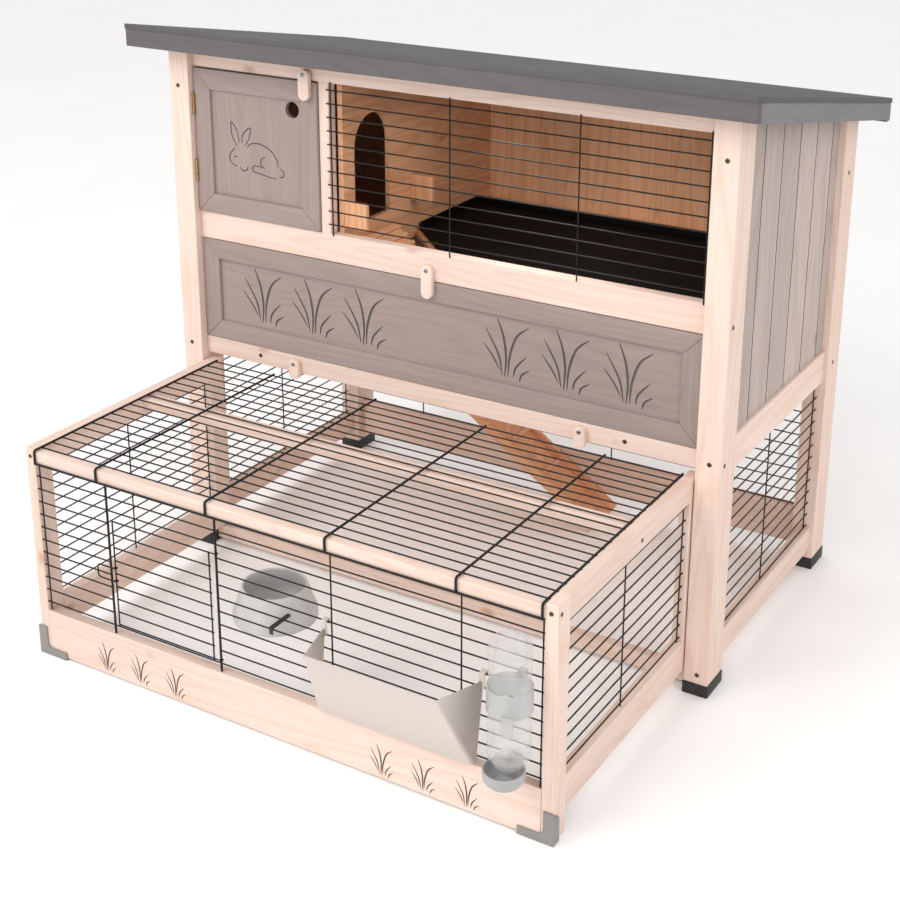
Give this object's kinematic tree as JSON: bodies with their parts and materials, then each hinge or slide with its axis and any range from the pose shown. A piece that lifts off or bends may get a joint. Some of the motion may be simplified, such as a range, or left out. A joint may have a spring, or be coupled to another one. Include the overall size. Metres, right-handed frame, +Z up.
{
  "type": "rabbit hutch",
  "caption": "Two-storey wooden rabbit hutch with a sloping roof, nest door, wire window and fold-down flap, and a wire run in front with a lid.",
  "frame": {"origin": "on the floor, under the middle of the bounding box, which takes in the roof's overhang and the hay rack", "axes": "+Z up, +X to the right along the roof's long edge, +Y to the back; the run is at the front, towards -Y"},
  "size_m": [1.1806, 1.1628, 1.0306],
  "materials": {
    "spruce": "planed, unpainted",
    "inner_wood": "planed, warm shaded",
    "grey_door": "grey stain, matt",
    "grey_boards": "pale grey stain, matt",
    "roof_felt": "grey weatherproof sheet, fine grit",
    "fascia": "dark grey stain, matt",
    "black_wire": "black powder coat",
    "black_plastic": "matt",
    "tray_plastic": "satin",
    "zinc": "zinc plated",
    "brass": "brassed, dull",
    "bracket": "grey, satin",
    "clear": "clear",
    "smoke": "translucent grey",
    "rack_sheet": "beige, satin"
  },
  "bodies": {
    "cabinet": {"front_posts": "spruce", "rear_posts": "spruce", "foot_caps": "black_plastic", "front_top_rail": "spruce", "front_mid_rail": "spruce", "front_bottom_rail": "spruce", "front_sill_rail": "spruce", "front_uprights": "spruce", "window_mesh": "black_wire", "side_panel_left": "grey_boards", "side_panel_right": "grey_boards", "side_rails": "spruce", "side_grilles": "black_wire", "back_panel": "grey_boards", "back_mid_rail": "spruce", "back_bottom_board": "spruce", "back_grille": "black_wire", "mid_floor": "inner_wood", "upper_floor": "inner_wood", "tray": "tray_plastic", "partition": "inner_wood", "arch_guards": "inner_wood", "upper_ramp": "inner_wood", "lower_ramp": "inner_wood", "frame_screws": "zinc", "nest_hinge_fixed": "brass", "roof_hinge_fixed": "brass", "run_front_posts": "spruce", "run_rear_stiles": "spruce", "run_side_rails": "spruce", "run_side_grilles": "black_wire", "run_front_board": "spruce", "run_front_rail": "spruce", "run_crossbar": "spruce", "run_corner_brackets": "bracket", "run_front_grille": "black_wire", "run_hatch_bars": "black_wire"},
    "roof": {"roof_sheet": "roof_felt", "roof_front_fascia": "fascia", "roof_edge_fascias": "fascia", "roof_hinge_moving": "brass"},
    "nest_door": {"nest_door_frame": "grey_door", "nest_door_panel": "grey_door", "nest_hinge_moving": "brass"},
    "nest_button": {"nest_button": "spruce"},
    "flap": {"flap_frame": "grey_door", "flap_panel": "grey_door", "flap_pins": "zinc"},
    "flap_button": {"flap_button": "spruce"},
    "run_lid": {"run_top_grille": "black_wire"},
    "run_button_left": {"run_button_left": "spruce"},
    "run_button_right": {"run_button_right": "spruce"},
    "run_door": {"run_wire_door": "black_wire"},
    "run_latch": {"run_door_latch": "black_wire"},
    "bottle": {"water_bottle": "clear", "bottle_cup": "smoke", "bottle_holder": "smoke"},
    "rack": {"hay_rack": "rack_sheet"},
    "bowl": {"food_bowl": "smoke", "bowl_clip": "black_plastic"}
  },
  "joints": [
    {"name": "roof_hinge", "type": "hinge", "parent": "cabinet", "child": "roof", "pos_m": [0, 0.5454, 0.8989], "axis": [-1, 0, 0], "range_deg": [0, 28]},
    {"name": "nest_door_hinge", "type": "hinge", "parent": "cabinet", "child": "nest_door", "pos_m": [-0.4998, -0.0258, 0.822], "axis": [0, 0, -1], "range_deg": [0, 110]},
    {"name": "nest_button_turn", "type": "hinge", "parent": "cabinet", "child": "nest_button", "pos_m": [-0.249, -0.028, 0.963], "axis": [0, 1, 0], "range_deg": [-90, 90]},
    {"name": "flap_hinge", "type": "hinge", "parent": "cabinet", "child": "flap", "pos_m": [0, -0.0154, 0.4395], "axis": [1, 0, 0], "range_deg": [0, 95]},
    {"name": "flap_button_turn", "type": "hinge", "parent": "cabinet", "child": "flap_button", "pos_m": [-0.005, -0.023, 0.652], "axis": [0, 1, 0], "range_deg": [-90, 90]},
    {"name": "run_lid_hinge", "type": "hinge", "parent": "cabinet", "child": "run_lid", "pos_m": [0, -0.5018, 0.366], "axis": [1, 0, 0], "range_deg": [0, 70]},
    {"name": "run_button_left_turn", "type": "hinge", "parent": "cabinet", "child": "run_button_left", "pos_m": [-0.293, -0.023, 0.422], "axis": [0, 1, 0], "range_deg": [-90, 90]},
    {"name": "run_button_right_turn", "type": "hinge", "parent": "cabinet", "child": "run_button_right", "pos_m": [0.292, -0.023, 0.422], "axis": [0, 1, 0], "range_deg": [-90, 90]},
    {"name": "run_door_hinge", "type": "hinge", "parent": "cabinet", "child": "run_door", "pos_m": [-0.1035, -0.4946, 0.204], "axis": [0, 0, 1], "range_deg": [0, 110]},
    {"name": "run_latch_turn", "type": "hinge", "parent": "run_door", "child": "run_latch", "pos_m": [-0.3154, -0.499, 0.204], "axis": [0, 0, 1], "range_deg": [0, 120]},
    {"name": "bottle_lift", "type": "slide", "parent": "cabinet", "child": "bottle", "axis": [0, 0, 1], "range_m": [0, 0.015]},
    {"name": "rack_lift", "type": "slide", "parent": "cabinet", "child": "rack", "axis": [0, 0, 1], "range_m": [0, 0.015]},
    {"name": "bowl_lift", "type": "slide", "parent": "cabinet", "child": "bowl", "axis": [0, 0, 1], "range_m": [0, 0.015]}
  ]
}
